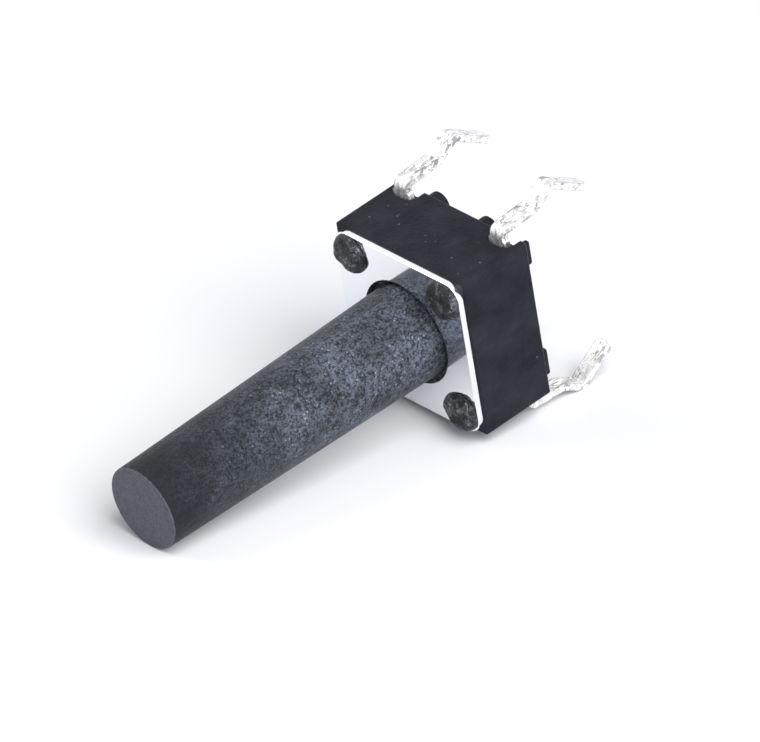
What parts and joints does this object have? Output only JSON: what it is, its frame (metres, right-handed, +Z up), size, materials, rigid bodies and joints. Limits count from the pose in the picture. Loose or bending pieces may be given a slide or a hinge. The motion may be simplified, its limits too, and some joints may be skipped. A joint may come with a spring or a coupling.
{
  "type": "tactile push button switch",
  "caption": "Momentary push button switch with a tall tapered round stem, a square black base, a polished metal cover plate held by staked posts, and bent through-hole leads.",
  "frame": {"origin": "centre of the lead pattern in the plane of the board's top face, which the feet of the base sit on", "axes": "+Z up along the stem to its tip; X across the switch, from one row of leads to the other; Y along a row of leads, with the centre contact's terminal at +Y"},
  "size_m": [0.0082, 0.006, 0.0179],
  "materials": {
    "base_plastic": "moulded black plastic, slightly dusty, matte",
    "cover_steel": "polished stainless steel sheet",
    "stem_plastic": "moulded charcoal plastic with a fine frosted grain",
    "dome_steel": "spring steel, lightly brushed",
    "lead_silver": "silver plated brass strip, bright with fine streaks"
  },
  "bodies": {
    "switch_body": {"base_housing": "base_plastic", "cover_plate": "cover_steel", "contact_dome": "dome_steel", "rim_contact_terminal": "lead_silver", "centre_contact_terminal": "lead_silver"},
    "button": {"plunger": "stem_plastic"}
  },
  "joints": [
    {"name": "button_press", "type": "slide", "parent": "switch_body", "child": "button", "axis": [0, 0, -1], "range_m": [0, 0.00025], "stiffness_N_per_m": 6400, "deforming": ["contact_dome"]}
  ]
}
